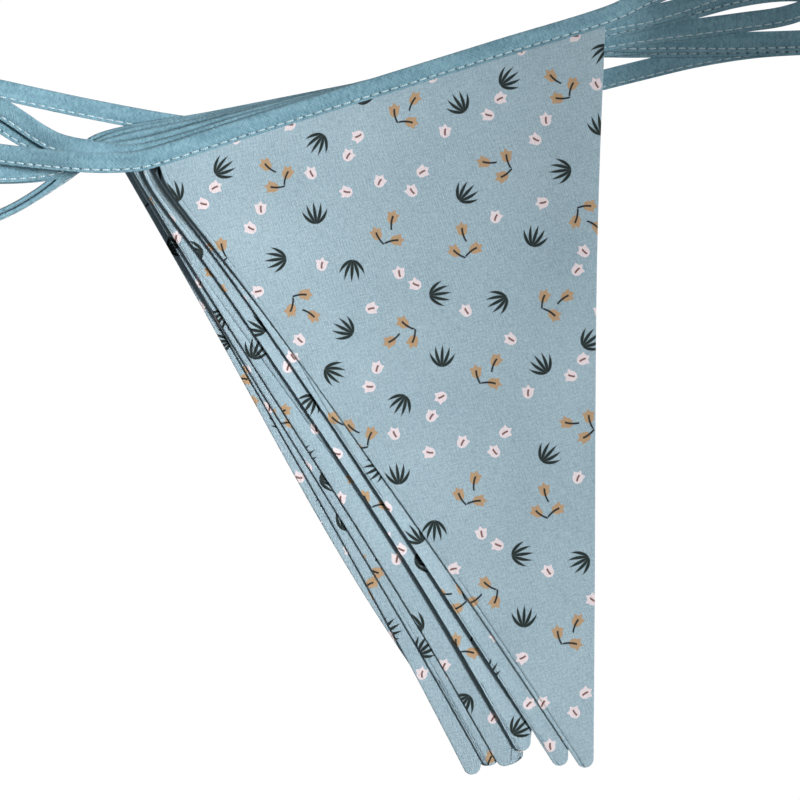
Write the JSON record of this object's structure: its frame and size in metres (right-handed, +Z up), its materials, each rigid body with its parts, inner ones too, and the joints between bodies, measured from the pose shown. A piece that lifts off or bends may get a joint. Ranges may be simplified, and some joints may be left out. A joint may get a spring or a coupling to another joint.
{
  "type": "fabric bunting",
  "caption": "Fabric bunting laid flag on flag: blunt-tipped triangular printed cotton flags on a folded binding tape whose loops and free ties run out at both sides.",
  "frame": {"origin": "on the surface that the bunting lies on, under the middle of the lowest flag", "axes": "+X along the tape towards the right-hand loops, +Y from the flags' tips towards their hems, +Z up out of the pile"},
  "size_m": [0.3147, 0.2743, 0.0266],
  "materials": {
    "flag_cloth": "plain-weave printed cotton",
    "binding": "plain cotton bias binding"
  },
  "bodies": {
    "root": {"flag_1": "flag_cloth", "flag_2": "flag_cloth", "flag_3": "flag_cloth", "flag_4": "flag_cloth", "flag_5": "flag_cloth", "flag_6": "flag_cloth", "flag_7": "flag_cloth", "tape": "binding"}
  },
  "joints": []
}
